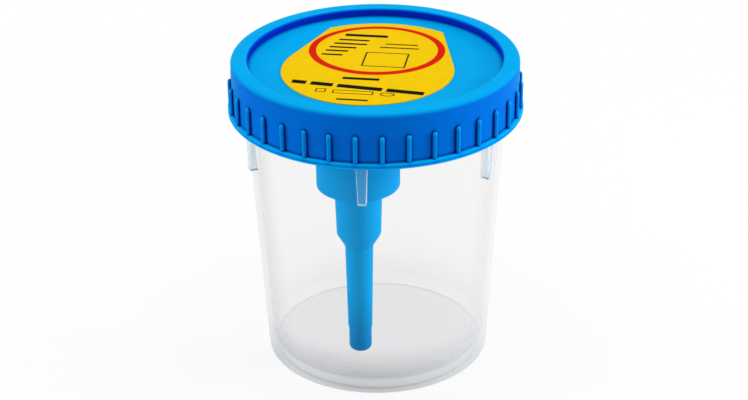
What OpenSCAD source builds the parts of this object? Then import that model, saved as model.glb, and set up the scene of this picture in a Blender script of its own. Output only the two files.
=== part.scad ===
// Screw-top specimen container. A tapered cup takes a one-piece lid that carries a deep
// off-centre well. A sleeved cannula stands in the well and opens into a straw below it,
// which reaches down to the cup's floor. A peel-off seal covers the well's mouth.
// Millimetres, +Z up. The origin is the centre of the cup's foot, on the surface it stands on.

/* [Cup] */
// Outside diameter at the foot
cup_base_d = 54.4; // [44:0.2:57]
// Outside diameter of the straight neck that the lid screws onto
neck_d = 61.8; // [54:0.2:76]
// Height from the foot to the lip
cup_h = 73.1; // [60:0.1:90]
// Wall thickness of the body and neck
cup_wall = 1.2; // [0.9:0.05:1.8]
// Thickness of the floor
floor_t = 1.3; // [0.9:0.1:2.5]
// Height of the hollow under the floor, inside the foot ring
foot_h = 0.9; // [0.5:0.1:2]
// Width of the flat ring that the cup stands on
foot_w = 1.9; // [1.2:0.1:4]
// Radius between the floor and the wall inside
floor_r = 2.5; // [1:0.5:5]

/* [Cup ribs] */
// Number of box ribs round the shoulder
rib_count = 6; // [3:1:12]
// Direction of the first rib, in degrees from the front towards +X
rib_phase = -6; // [-30:1:30]
// How far each rib stands out of the neck's diameter line
rib_out = 1.6; // [0.5:0.1:1.7]
// Length of a rib
rib_len = 9.4; // [4:0.2:16]
// Width of a rib at its lower end
rib_w_low = 1.9; // [1.2:0.1:4]
// Width of a rib at its upper end
rib_w_high = 2.6; // [1.2:0.1:4]

/* [Lid] */
// Height of the lid
lid_h = 13.0; // [11:0.1:15]
// Wall thickness of the skirt
skirt_wall = 1.3; // [1:0.05:1.5]
// How far the bead round the lower edge stands out of the skirt
bead_out = 1.05; // [0.8:0.05:1.5]
// Height of the bead
bead_h = 1.3; // [1.2:0.1:3]
// Thickness of the top panel
panel_t = 1.3; // [1:0.1:2.5]
// Height of the raised rim above the panel
rim_h = 2.1; // [1:0.1:3]
// Width of the raised rim
rim_w = 4.0; // [3.6:0.1:6]
// Radius of the rim's outer shoulder
shoulder_r = 0.9; // [0.6:0.1:1.8]
// How deep the sealing ring reaches into the cup
plug_h = 3.6; // [2:0.1:6]
// Thickness of the sealing ring
plug_t = 1.1; // [0.7:0.1:1.6]

/* [Grip] */
// Number of grip ribs round the skirt
grip_count = 36; // [12:1:48]
// Direction of the first grip rib, in degrees from the front towards +X
grip_phase = 2.2; // [0:0.1:10]
// Diameter of a grip rib
grip_d = 1.1; // [0.7:0.1:1.8]
// Distance from the lid's top to the top of a grip rib
grip_drop = 5.1; // [3:0.1:7]

/* [Thread] */
// Rise of the thread in one turn
thread_pitch = 4; // [3.6:0.2:5]
// Turns of thread on the cup and in the lid
thread_turns = 1.4; // [0.75:0.05:1.5]
// Height of the thread on the cup's neck
cup_thread_h = 1.1; // [0.8:0.05:1.3]
// Height of the thread inside the lid
lid_thread_h = 1.3; // [1:0.05:1.4]
// Radial space between the neck and the skirt, which holds both threads
thread_space = 1.75; // [1.6:0.05:2]

/* [Well] */
// Place of the well's axis across the lid
well_x = -4.3; // [-8:0.1:8]
// Place of the well's axis, negative towards the front
well_y = -10.5; // [-14:0.1:14]
// Outside diameter of the well
well_d = 19.8; // [17:0.1:22]
// Wall thickness of the well
well_wall = 1.0; // [0.8:0.05:1.4]
// Outside depth of the well below the panel's upper face
well_depth = 26.3; // [20:0.1:32]
// Thickness of the well's floor
well_floor_t = 1.2; // [1:0.1:2]
// Diameter of the spigot under the well's floor
spigot_d = 9.0; // [7:0.1:10]
// Length of the spigot
spigot_h = 6.0; // [3:0.5:8]

/* [Straw] */
// Outside diameter of the straw's socket at its top
socket_d = 11.4; // [10.8:0.1:13]
// Outside diameter of the socket at its lower end
socket_low_d = 10.7; // [10.4:0.1:13]
// Length of the socket down to its cone
socket_len = 12.8; // [8:0.1:18]
// Length of the cone between the socket and the straw
cone_len = 3.3; // [2:0.1:6]
// Outside diameter at the top of the straw
straw_d = 6.8; // [5.6:0.1:8]
// Outside diameter just above the tip
straw_low_d = 5.9; // [5:0.1:7]
// Outside diameter of the tip
tip_d = 5.5; // [4.6:0.1:6.5]
// Length of the tip
tip_len = 5.8; // [3:0.1:12]
// Diameter of the channel
channel_d = 3.0; // [2:0.1:3.6]
// Clear height between the tip and the cup's floor
tip_gap = 0.8; // [0.4:0.1:4]

/* [Cannula] */
// Outside diameter of the steel cannula
needle_d = 0.9; // [0.7:0.05:1.3]
// Wall thickness of the cannula
needle_wall = 0.15; // [0.1:0.01:0.2]
// How far the cannula's point lies below the top of its sleeve
needle_cover = 1.6; // [1.2:0.1:4]
// How far the cannula reaches below the well's underside
needle_down = 8; // [2:0.5:10]
// Angle of the ground point to the cannula's axis
bevel_angle = 16; // [10:1:30]
// Diameter of the hub's stem in the well's floor
hub_stem_d = 4.6; // [3.6:0.1:5.2]
// Diameter of the hub's collar
hub_collar_d = 7.2; // [6:0.1:9]
// Height of the hub above the well's floor
hub_h = 6.4; // [4:0.1:9]
// Outside diameter of the rubber sleeve
sleeve_d = 4.0; // [3.2:0.1:5]
// Wall thickness of the sleeve
sleeve_wall = 0.55; // [0.4:0.05:0.8]
// How far the sleeve's top lies below the panel's upper face
sleeve_drop = 3.5; // [1:0.5:8]

/* [Seal] */
// Diameter of the seal's round end
seal_d = 40.4; // [34:0.2:44]
// Distance between the seal's far edge and the rim
seal_far_gap = 5.15; // [2:0.05:8]
// Place of the round end's centre across the lid
seal_x = -1.8; // [-4:0.1:2]
// Place of the round end's centre, negative towards the front
seal_y = -4.1; // [-6:0.1:-2]
// Lean of the seal, in degrees clockwise seen from above
seal_lean = 11.4; // [0:0.2:20]
// Angle of each straight side to the seal's own axis
seal_taper = 16; // [8:1:24]
// Thickness of the seal
seal_t = 0.2; // [0.1:0.05:0.4]

/* [Clearances] */
// Radial gap between the sealing ring and the neck's bore
plug_gap = 0.06; // [0.03:0.01:0.15]
// Radial gap between glued or pushed-in parts of the transfer device
glue_gap = 0.03; // [0.02:0.01:0.05]
// Gap between the threads' loaded flanks
thread_gap = 0.1; // [0.06:0.02:0.2]
// Gap between the ribs' upper ends and the lid
rib_gap = 0.8; // [0.3:0.1:3]

/* [Hidden] */
$fn = 96;
EPS = 0.01;

// Heights
lid_top = cup_h + panel_t + rim_h;
panel_top = cup_h + panel_t;
skirt_foot = lid_top - lid_h;
well_foot = panel_top - well_depth;
well_floor = well_foot + well_floor_t;
floor_top = foot_h + floor_t;
straw_foot = floor_top + tip_gap;
socket_foot = well_foot - socket_len;
cone_foot = socket_foot - cone_len;

// Radii
base_r = cup_base_d / 2;
neck_r = neck_d / 2;
neck_bore_r = neck_r - cup_wall;
skirt_bore_r = neck_r + thread_space;
skirt_r = skirt_bore_r + skirt_wall;
lid_r = skirt_r + bead_out;
rim_r = skirt_r - rim_w;
seal_far_r = rim_r - seal_far_gap;
plug_r = neck_bore_r - plug_gap;
well_r = well_d / 2;
spigot_r = spigot_d / 2;
lip_round = cup_wall / 3;
edge_round = 0.6;
tip_round = 1.1;

// Lead-in at the foot of the sealing ring
plug_lead_h = 1.2;
plug_lead_w = 0.5;

// The rim is cored out from below, clear of the neck, so that its wall stays even
rim_core_r = neck_r + 0.4;
rim_roof_t = 1.4;
rim_core_top = lid_top - rim_roof_t;

// Each grip rib lies a little inside the bead
grip_r = grip_d / 2;
grip_inset = 0.15;

// The body's taper ends, and the straight neck begins, level with the lid's lower edge
neck_foot = skirt_foot;
rib_top = skirt_foot - rib_gap;
rib_foot = rib_top - rib_len;

// Thread form: half widths at the root and the crest
thread_root = 1.0;
thread_crest = 0.45;
thread_sink = 0.4;
thread_steps = 48;
thread_fade = 25;
thread_end = 0.35;
thread_lip_gap = 1.2;
thread_foot_gap = 0.5;
cup_thread_z = cup_h - thread_lip_gap - thread_root - thread_pitch * thread_turns;
// The lid's thread pulls up under the cup's thread, flank against flank
thread_flank = thread_root - thread_crest;
lid_crest_r = skirt_bore_r - lid_thread_h;
cup_width_there = thread_root - thread_flank * (lid_crest_r - neck_r) / cup_thread_h;
lid_thread_z = cup_thread_z - cup_width_there - thread_crest - thread_gap;
// It begins where its root clears the skirt's lower edge
lid_thread_foot = skirt_foot + thread_root + thread_foot_gap;
lid_thread_start = 360 * max(0, lid_thread_foot - lid_thread_z) / thread_pitch;

// Straw: the bore of its socket, the space under the spigot and the funnel into the channel
channel_r = channel_d / 2;
socket_bore_r = spigot_r + glue_gap;
socket_bottom = well_foot - spigot_h - 1;
funnel_h = 4;
ledge_w = 0.12;
tip_step_h = 0.6;

// Hub, cannula and sleeve
sleeve_r = sleeve_d / 2;
sleeve_bore_r = sleeve_r - sleeve_wall;
sleeve_on_hub = 3.2;
sleeve_foot = well_floor + hub_h - sleeve_on_hub;
sleeve_top = panel_top - sleeve_drop;
sleeve_round = 1.0;
hub_collar_t = 1.2;
hub_shoulder = 0.3;
hub_nose_r = sleeve_bore_r - glue_gap;
hub_round = 0.4;
hub_stem_foot = well_foot - spigot_h + 1;
needle_r = needle_d / 2;
needle_foot = well_foot - needle_down;
needle_tip = sleeve_top - needle_cover;

// Piece to take off (or to add to) a square corner at [x, z]. It lies towards +x and +z of
// the corner, or towards -x where left is true and towards -z where low is true.
module corner(x, z, r, left = false, low = false)
    translate([x, z])
        mirror([left ? 1 : 0, 0])
            mirror([0, low ? 1 : 0])
                difference() {
                    translate([-EPS, -EPS]) square(r + EPS);
                    translate([r, r]) circle(r);
                }

// Rectangle given by its lowest and highest corners
module block(x0, z0, x1, z1)
    translate([x0, z0]) square([x1 - x0, z1 - z0]);

// Directions are degrees from the front (-Y) towards +X
module facing(a) rotate(a - 90) children();

module at_well() translate([well_x, well_y, 0]) children();

// Helical ridge on a cylinder of radius r. side is 1 where it stands outwards and -1 inwards.
// It begins start degrees along a helix that passes z at angle 0, and its height falls to
// thread_end of the full height over the last thread_fade degrees.
function ridge_height(a, sweep) =
    thread_end + (1 - thread_end) * min(1, a / thread_fade, (sweep - a) / thread_fade);

function ridge_ring(r, h, side, z, start, a, sweep) =
    let (root = r - side * thread_sink,
         crest = r + side * h * ridge_height(a, sweep),
         root_w = thread_root + thread_sink * thread_flank / h,
         turned = start + a,
         rise = z + thread_pitch * turned / 360)
    [for (p = [[root, -root_w], [crest, -thread_crest], [crest, thread_crest], [root, root_w]])
        [p[0] * cos(turned), p[0] * sin(turned), rise + p[1]]];

module ridge(r, h, side, z, start = 0) {
    sweep = 360 * thread_turns;
    steps = ceil(thread_steps * thread_turns);
    last = 4 * steps;
    rings = [for (i = [0 : steps]) each ridge_ring(r, h, side, z, start, sweep * i / steps, sweep)];
    skin = [for (i = [0 : steps - 1], k = [0 : 3])
        let (a = 4 * i + k, b = 4 * i + (k + 1) % 4)
        each [[b, a + 4, a], [b + 4, a + 4, b]]];
    ends = [[2, 1, 0], [3, 2, 0], [last, last + 1, last + 2], [last, last + 2, last + 3]];
    polyhedron(points = rings, faces = [for (f = concat(skin, ends)) side > 0 ? f : [f[2], f[1], f[0]]]);
}

// ---------------------------------------------------------------- cup
module cup_outside() {
    polygon([[0, 0], [base_r, 0], [neck_r, neck_foot], [neck_r, cup_h], [0, cup_h]]);
}

module cup_inside() {
    inside_r = base_r - cup_wall;
    slope = (neck_bore_r - inside_r) / neck_foot;
    lean = atan(slope);
    floor_edge = inside_r + slope * floor_top;
    // centre of the fillet that touches the floor and the sloping wall
    fillet_x = floor_edge + slope * floor_r - floor_r / cos(lean);
    fillet_z = floor_top + floor_r;
    difference() {
        polygon([[0, floor_top], [floor_edge, floor_top], [neck_bore_r, neck_foot],
                 [neck_bore_r, cup_h + 1], [0, cup_h + 1]]);
        difference() {
            polygon([[fillet_x, fillet_z], [fillet_x, floor_top - 1], [floor_edge + 1, floor_top - 1],
                     [fillet_x + (floor_r + 1) * cos(lean), fillet_z - (floor_r + 1) * sin(lean)]]);
            translate([fillet_x, fillet_z]) circle(floor_r);
        }
    }
}

// The rib starts inside the cup, whose hollow then cuts it back to the wall
module cup_rib()
    rotate([90, 0, 90])
        translate([0, 0, neck_r / 2])
            linear_extrude(neck_r / 2 + rib_out)
                polygon([[-rib_w_low / 2, rib_foot], [rib_w_low / 2, rib_foot],
                         [rib_w_high / 2, rib_top], [-rib_w_high / 2, rib_top]]);

module cup()
    color([0.88, 0.9, 0.91, 0.5])
        difference() {
            union() {
                rotate_extrude()
                    difference() {
                        cup_outside();
                        corner(base_r, 0, edge_round, left = true);
                        corner(neck_r, cup_h, lip_round, left = true, low = true);
                    }
                for (i = [0 : rib_count - 1]) facing(rib_phase + 360 * i / rib_count) cup_rib();
                ridge(neck_r, cup_thread_h, 1, cup_thread_z);
            }
            rotate_extrude()
                union() {
                    cup_inside();
                    corner(neck_bore_r, cup_h, lip_round, low = true);
                    block(0, -1, base_r - foot_w, foot_h);
                }
        }

// ---------------------------------------------------------------- lid
module lid_shell() {
    difference() {
        union() {
            // skirt, bead, top panel, raised rim and sealing ring
            block(skirt_bore_r, skirt_foot, skirt_r, cup_h + EPS);
            block(0, cup_h, rim_r + EPS, panel_top);
            block(rim_r, cup_h, skirt_r, lid_top);
            block(skirt_r - EPS, skirt_foot, lid_r, skirt_foot + bead_h);
            polygon([[plug_r - plug_t, cup_h + EPS], [plug_r, cup_h + EPS],
                     [plug_r, cup_h - plug_h + plug_lead_h], [plug_r - plug_lead_w, cup_h - plug_h],
                     [plug_r - plug_t, cup_h - plug_h]]);
            corner(rim_r, panel_top, edge_round, left = true);
        }
        corner(skirt_r, lid_top, shoulder_r, left = true, low = true);
        corner(rim_r, lid_top, edge_round, low = true);
        corner(lid_r, skirt_foot + bead_h, edge_round, left = true, low = true);
        corner(lid_r, skirt_foot, edge_round, left = true);
        block(rim_core_r, cup_h - 1, skirt_bore_r, rim_core_top);
    }
}

module grip_rib() {
    rod_top = lid_top - grip_drop - grip_r;
    rod_foot = skirt_foot + bead_h / 2;
    translate([lid_r - grip_r - grip_inset, 0, rod_foot]) {
        cylinder(r = grip_r, h = rod_top - rod_foot, $fn = 32);
        translate([0, 0, rod_top - rod_foot]) sphere(r = grip_r, $fn = 32);
    }
}

module well_outside()
    at_well() {
        translate([0, 0, well_foot]) cylinder(r = well_r, h = panel_top - well_foot);
        translate([0, 0, well_foot - spigot_h]) cylinder(r = spigot_r, h = spigot_h + EPS);
    }

module well_inside()
    at_well() {
        translate([0, 0, well_floor]) cylinder(r = well_r - well_wall, h = well_depth);
        translate([0, 0, well_foot - spigot_h - 1])
            cylinder(d = hub_stem_d + 2 * glue_gap, h = spigot_h + well_floor_t + 2);
    }

module lid()
    color([0, 0.5, 0.9])
        difference() {
            union() {
                rotate_extrude() lid_shell();
                for (i = [0 : grip_count - 1]) facing(grip_phase + 360 * i / grip_count) grip_rib();
                ridge(skirt_bore_r, lid_thread_h, -1, lid_thread_z, lid_thread_start);
                well_outside();
            }
            well_inside();
        }

// ---------------------------------------------------------------- peel seal
module seal_outline() {
    r = seal_d / 2;
    reach = 2 * seal_far_r;
    left = 90 - seal_lean - seal_taper;
    right = 90 - seal_lean + seal_taper;
    intersection() {
        circle(r = seal_far_r);
        translate([seal_x, seal_y])
            union() {
                circle(r = r);
                polygon([r * [cos(left + 90), sin(left + 90)],
                         r * [cos(left + 90), sin(left + 90)] + reach * [cos(left), sin(left)],
                         r * [cos(right - 90), sin(right - 90)] + reach * [cos(right), sin(right)],
                         r * [cos(right - 90), sin(right - 90)]]);
            }
    }
}

module peel_seal()
    color([0.97, 0.82, 0.05])
        translate([0, 0, panel_top])
            linear_extrude(seal_t) seal_outline();

// ---------------------------------------------------------------- straw
module straw_outside()
    polygon([[0, straw_foot], [tip_d / 2, straw_foot],
             [tip_d / 2, straw_foot + tip_len],
             [straw_low_d / 2, straw_foot + tip_len + tip_step_h],
             [straw_d / 2, cone_foot], [straw_d / 2 + ledge_w, cone_foot],
             [socket_low_d / 2, socket_foot], [socket_d / 2, well_foot],
             [0, well_foot]]);

module straw()
    color([0, 0.55, 0.85])
        at_well()
            rotate_extrude()
                difference() {
                    straw_outside();
                    corner(tip_d / 2, straw_foot, tip_round, left = true);
                    block(0, straw_foot - 1, channel_r, well_foot);
                    polygon([[0, well_foot + 1], [socket_bore_r, well_foot + 1],
                             [socket_bore_r, socket_bottom], [channel_r, socket_bottom - funnel_h],
                             [0, socket_bottom - funnel_h]]);
                }

// ---------------------------------------------------------------- cannula, hub and sleeve
module needle_hub()
    color([0.93, 0.94, 0.92])
        at_well()
            rotate_extrude()
                difference() {
                    union() {
                        block(0, hub_stem_foot, hub_stem_d / 2, well_floor + EPS);
                        block(0, well_floor, hub_collar_d / 2, well_floor + hub_collar_t);
                        block(0, well_floor, sleeve_r + hub_shoulder, sleeve_foot - glue_gap);
                        block(0, well_floor, hub_nose_r, well_floor + hub_h);
                    }
                    block(0, hub_stem_foot - 1, needle_r + glue_gap, well_floor + hub_h + 1);
                    corner(hub_collar_d / 2, well_floor + hub_collar_t, hub_round, left = true, low = true);
                    corner(hub_nose_r, well_floor + hub_h, hub_round, left = true, low = true);
                }

module needle() {
    length = needle_tip - needle_foot;
    cutter = 9 * needle_d;
    color([0.75, 0.76, 0.78])
        at_well()
            difference() {
                translate([0, 0, needle_foot]) cylinder(r = needle_r, h = length, $fn = 48);
                translate([0, 0, needle_foot - 1])
                    cylinder(r = needle_r - needle_wall, h = length + 2, $fn = 48);
                // ground point, its heel towards +X
                translate([-needle_r, 0, needle_tip])
                    rotate([0, -bevel_angle, 0])
                        translate([0, -needle_d, needle_d - cutter])
                            cube([cutter, 2 * needle_d, cutter]);
            }
}

module needle_sleeve()
    color([0.2, 0.2, 0.2])
        at_well()
            rotate_extrude()
                difference() {
                    block(0, sleeve_foot, sleeve_r, sleeve_top);
                    block(0, sleeve_foot - 1, sleeve_bore_r, sleeve_top - 2 * sleeve_wall);
                    corner(sleeve_r, sleeve_top, sleeve_round, left = true, low = true);
                }

cup();
lid();
peel_seal();
straw();
needle_hub();
needle();
needle_sleeve();
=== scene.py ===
import math

import bmesh
import bpy
from mathutils import Matrix, Vector
from mathutils.geometry import delaunay_2d_cdt


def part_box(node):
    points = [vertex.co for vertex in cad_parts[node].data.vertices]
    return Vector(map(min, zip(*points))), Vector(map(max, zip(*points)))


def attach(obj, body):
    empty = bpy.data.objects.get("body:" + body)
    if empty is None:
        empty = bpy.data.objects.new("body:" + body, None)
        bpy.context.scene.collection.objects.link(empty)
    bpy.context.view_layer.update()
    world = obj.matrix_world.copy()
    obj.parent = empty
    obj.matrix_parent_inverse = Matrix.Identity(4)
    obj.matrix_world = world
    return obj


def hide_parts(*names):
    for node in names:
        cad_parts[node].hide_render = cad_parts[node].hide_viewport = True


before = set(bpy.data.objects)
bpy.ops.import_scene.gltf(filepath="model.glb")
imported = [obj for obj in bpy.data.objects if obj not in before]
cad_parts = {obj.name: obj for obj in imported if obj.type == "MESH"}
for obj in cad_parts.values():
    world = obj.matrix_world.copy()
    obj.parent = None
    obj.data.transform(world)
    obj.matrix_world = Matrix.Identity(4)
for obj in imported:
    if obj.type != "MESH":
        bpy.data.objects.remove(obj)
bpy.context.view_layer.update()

# Lengths are millimetres and angles are degrees. MM turns millimetres into the scene's metres.
MM = 0.001


def box_mm(node):
    """Lowest and highest corner of a CAD node, in millimetres."""
    return [[c / MM for c in corner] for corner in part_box(node)]


# ---------------------------------------------------------------- places taken from the frame
cup_low, cup_high = box_mm("cup")
lid_low, lid_high = box_mm("lid")
seal_low, seal_high = box_mm("peel_seal")
straw_low, straw_high = box_mm("straw")

CUP_TOP = cup_high[2]
LID_TOP = lid_high[2]
LID_R = lid_high[0]
PANEL_TOP = seal_low[2]
SEAL_TOP = seal_high[2]
WELL_X = (straw_low[0] + straw_high[0]) / 2
WELL_Y = (straw_low[1] + straw_high[1]) / 2
WELL_FOOT = straw_high[2]
SPIGOT_FOOT = lid_low[2]
STRAW_FOOT = straw_low[2]

# ---------------------------------------------------------------- sizes inside the pieces
# How many steps each round piece takes in a turn
CUP_STEPS, LID_STEPS, WELL_STEPS, STRAW_STEPS, ROD_STEPS, THREAD_STEPS = 256, 360, 192, 128, 28, 120
ON_AXIS = 1e-6

# Cup. The ROUND of an edge is its radius.
CUP_BASE_R, NECK_R, CUP_WALL = 27.2, 30.9, 1.2
FLOOR_TOP, FOOT_H, FOOT_W = 2.2, 0.9, 1.9
FLOOR_ROUND, BASE_ROUND, LIP_ROUND, FOOT_ROUND, RECESS_ROUND = 2.5, 0.55, 0.4, 0.25, 0.3

# Box ribs below the lid. A rib starts RIB_ROOT inside the neck, and the cup's hollow cuts it back.
RIB_COUNT, RIB_PHASE, RIB_OUT, RIB_ROOT = 6, -6.0, 1.6, 3.2
RIB_FOOT, RIB_TOP, RIB_W_LOW, RIB_W_HIGH, RIB_ROUND = 53.3, 62.7, 1.9, 2.6, 0.28
HOLLOW_BELOW, HOLLOW_ABOVE = 4.0, 2.0

# Lid: skirt, bead, rim and panel
SKIRT_FOOT, SKIRT_R, SKIRT_BORE_R, SKIRT_ROUND = 63.5, 33.95, 32.65, 0.3
BEAD_H, BEAD_LOW_ROUND, BEAD_TOP_ROUND, BEAD_FILLET = 1.3, 0.5, 0.28, 0.15
RIM_R, RIM_ROUND, SHOULDER_R, PANEL_FILLET = 29.95, 0.6, 0.9, 0.35

# Lid: the ring that plugs the cup's mouth, and the hollow under the rim
PLUG_R, PLUG_T, PLUG_FOOT = 29.64, 1.1, 69.5
PLUG_LEAD_W, PLUG_LEAD_H, PLUG_ROUND, PLUG_FILLET = 0.5, 1.2, 0.2, 0.4
RIM_CORE_R, RIM_CORE_TOP, RIM_CORE_ROUND = 31.3, 75.1, 0.5

# Lid: grip ribs. A rod starts inside the bead, at a share of its height.
GRIP_COUNT, GRIP_PHASE, GRIP_R, GRIP_INSET, GRIP_TOP, GRIP_START = 36, 2.2, 0.55, 0.15, 71.4, 0.6

# Threads. An end fades over THREAD_FADE, down to a share THREAD_END of the full height.
THREAD_PITCH, THREAD_TURNS, THREAD_FADE, THREAD_END = 4.0, 1.4, 30.0, 0.12
CUP_THREAD_H, CUP_THREAD_Z, CUP_THREAD_START = 1.1, 65.3, 0.0
LID_THREAD_H, LID_THREAD_Z, LID_THREAD_START = 1.3, 63.975, 92.25
# Half widths of a ridge at its root and its crest, and how far it is sunk in
THREAD_ROOT, THREAD_CREST, THREAD_SINK = 1.0, 0.45, 0.3
# The crest's corner, as (share of the height, distance past the half width)
THREAD_CORNER = ((0.85, 0.08), (0.96, -0.06), (1.0, -0.2))

# Well and spigot. WELL_ROOT is how far the well reaches up into the panel.
WELL_R, WELL_WALL, WELL_FLOOR, SPIGOT_R, HUB_BORE_R = 9.9, 1.0, 49.3, 4.5, 2.33
WELL_ROOT, WELL_ROUND, WELL_FLOOR_ROUND, WELL_CHAMFER = 0.6, 0.3, 0.6, 0.4
CUT_PAST = 1.0

# Straw: its socket, cone, tube and tip
SOCKET_R, SOCKET_LOW_R, SOCKET_FOOT, CONE_FOOT = 5.7, 5.35, 35.3, 32.0
SOCKET_BORE_R, SOCKET_BOTTOM, FUNNEL_H, CHANNEL_R = 4.53, 41.1, 4.0, 1.5
SOCKET_ROUND, SOCKET_LEAN, SOCKET_RISE = 0.6, -32.0, 0.1
STRAW_R, STRAW_LOW_R, TIP_R, TIP_LEN, TIP_ROUND, STEP_H = 3.4, 2.95, 2.75, 5.8, 1.1, 0.6
# Where the tip ends and where the cone begins, as small offsets (outwards, upwards)
TIP_END, CONE_START = ((0.0, -0.1), (0.05, 0.15)), ((0.0, -0.1), (0.12, 0.05))

# Seal: a round end, two straight sides and a far edge concentric with the lid
SEAL_R, SEAL_X, SEAL_Y, SEAL_FAR_R, SEAL_LEAN, SEAL_TAPER = 20.2, -1.8, -4.1, 24.8, 11.4, 16.0
SEAL_STEPS, SEAL_FAR_STEPS, SEAL_MERGE = 96, 24, 1e-4

# The seal's print is areas of three inks. Places are those on the panel, and PRINT_LEAN turns each shape.
YELLOW, RED, INK = 0, 1, 2
PRINT_LEAN = -9.0
RING_AT, RING_RX, RING_RY = (0.45, 7.7), 16.3, 15.05
RING_W_SIDE, RING_W_END, RING_SHIFT, RING_STEPS = 1.75, 1.7, 0.2, 128
# Bars in the place of lines of print, as (x, y, length, height)
PRINT_BARS = (
    (-7.1, 17.6, 10.4, 1.5), (-8.6, 14.7, 7.4, 0.9), (-9.8, 12.4, 8.0, 0.9), (-10.9, 10.2, 6.5, 0.9),
    (-11.8, 8.1, 5.4, 0.9), (-12.7, 5.7, 5.0, 0.9), (-7.6, -8.8, 8.6, 1.3), (-8.9, -20.7, 7.2, 0.8),
    (2.6, 11.4, 7.8, 0.6), (1.2, 9.4, 9.4, 0.6),
)
# One long line in four bars, whose lengths and gap are shares of the line
LONG_AT, LONG_W, LONG_H, LONG_LEAN = (-19.2, -10.3), 31.2, 1.9, -15.0
LONG_BARS, LONG_GAP = (0.11, 0.17, 0.34, 0.28), 0.033
# Blank boxes, as (x, y, half length, half height, line)
BOXES = ((2.4, 1.6, 5.2, 4.3, 0.38), (-12.5, -15.6, 1.2, 0.95, 0.3), (-5.2, -17.1, 4.7, 0.95, 0.3))
# One oval outline, as its outer and inner half sizes
OVAL_AT, OVAL_SIZES = (2.6, -18.6), ((1.7, 1.0), (1.35, 0.68))


# ---------------------------------------------------------------- mesh helpers
def arc(x, z, r, start, end, step=12.0):
    """Points of an arc round (x, z). Angles are degrees, and step is the widest one between points."""
    n = max(2, math.ceil(abs(end - start) / step))
    turns = [math.radians(start + (end - start) * i / n) for i in range(n + 1)]
    return [(x + r * math.cos(t), z + r * math.sin(t)) for t in turns]


def new_object(name, verts, faces):
    """Object from corners in millimetres, with its faces turned outwards."""
    mesh = bpy.data.meshes.new(name)
    mesh.from_pydata([Vector(v) * MM for v in verts], [], faces)
    bm = bmesh.new()
    bm.from_mesh(mesh)
    bmesh.ops.recalc_face_normals(bm, faces=bm.faces)
    bm.to_mesh(mesh)
    bm.free()
    obj = bpy.data.objects.new(name, mesh)
    bpy.context.scene.collection.objects.link(obj)
    return obj


def revolve(name, profile, steps, at=(0.0, 0.0)):
    """Closed solid of revolution. The profile is a closed outline of (radius, height) points.
    Points on the axis become a single vertex."""
    verts, rings = [], []
    for r, z in profile:
        if r < ON_AXIS:
            rings.append([len(verts)] * steps)
            verts.append((at[0], at[1], z))
            continue
        rings.append([len(verts) + k for k in range(steps)])
        for k in range(steps):
            t = 2 * math.pi * k / steps
            verts.append((at[0] + r * math.cos(t), at[1] + r * math.sin(t), z))
    faces = []
    for a, b in zip(rings, rings[1:] + rings[:1]):
        for k in range(steps):
            j = (k + 1) % steps
            corners = list(dict.fromkeys((a[k], a[j], b[j], b[k])))
            if len(corners) > 2:
                faces.append(corners)
    return new_object(name, verts, faces)


def thread_height(a, sweep):
    """Share of the full height at angle a: the ends sink into the wall."""
    run = max(0.0, min(1.0, a / THREAD_FADE, (sweep - a) / THREAD_FADE))
    return THREAD_END + (1 - THREAD_END) * run * run * (3 - 2 * run)


def thread_ridge(name, r, h, side, z, start):
    """Helical ridge with a rounded crest on a cylinder of radius r. side is 1 outwards and -1 inwards."""
    sweep = 360 * THREAD_TURNS
    steps = round(THREAD_STEPS * THREAD_TURNS)
    sink_w = THREAD_ROOT + THREAD_SINK * (THREAD_ROOT - THREAD_CREST) / h
    low_half = [(-THREAD_SINK, -sink_w), *((out, -THREAD_CREST - past) for out, past in THREAD_CORNER)]
    section = low_half + [(out, -up) for out, up in reversed(low_half)]
    verts, faces, n = [], [], len(section)
    for i in range(steps + 1):
        a = sweep * i / steps
        top = h * thread_height(a, sweep)
        t = math.radians(start + a)
        rise = z + THREAD_PITCH * (start + a) / 360
        for out, up in section:
            ring_r = r + side * (out if out < 0 else out * top)
            verts.append((ring_r * math.cos(t), ring_r * math.sin(t), rise + up))
    for i in range(steps):
        for k in range(n):
            j = (k + 1) % n
            faces.append((i * n + k, i * n + j, (i + 1) * n + j, (i + 1) * n + k))
    faces.append(tuple(range(n)))
    faces.append(tuple(range(steps * n, (steps + 1) * n)))
    return new_object(name, verts, faces)


def combine(obj, other, operation):
    """Boolean of two closed meshes, written back into the first. The second is removed, and so is the
    empty material slot that the modifier leaves."""
    mod = obj.modifiers.new("combine", "BOOLEAN")
    mod.object = other
    mod.operation = operation
    mod.solver = "MANIFOLD"
    evaluated = obj.evaluated_get(bpy.context.evaluated_depsgraph_get())
    mesh = bpy.data.meshes.new_from_object(evaluated)
    mesh.materials.clear()
    obj.modifiers.clear()
    old = obj.data
    obj.data = mesh
    bpy.data.meshes.remove(old)
    bpy.data.objects.remove(other)


def smooth(obj, angle=32.0):
    """Smooth shading, with edges sharper than the angle left sharp."""
    obj.data.shade_smooth()
    obj.data.set_sharp_from_angle(angle=math.radians(angle))


def finish_piece(obj, body, node, materials):
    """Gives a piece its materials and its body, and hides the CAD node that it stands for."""
    for material in materials:
        obj.data.materials.append(material)
    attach(obj, body)
    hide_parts(node)


# ---------------------------------------------------------------- material helpers
# Noise scales, in blobs a metre
FLOW, WEAR, GRAIN = 60.0, 220.0, 900.0
CLOUD, RIPPLE, HAZE = 45.0, 300.0, 150.0
INK_FLOW, FILM_WEAR, FILM_GRAIN = 350.0, 500.0, 1500.0
STREAKS, POLISH, PAINT_FLOW = 4000.0, 2500.0, 4.0
# The middle range of Blender's noise, which most of its values fall in
NOISE_LOW, NOISE_HIGH = 0.3, 0.7


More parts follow.
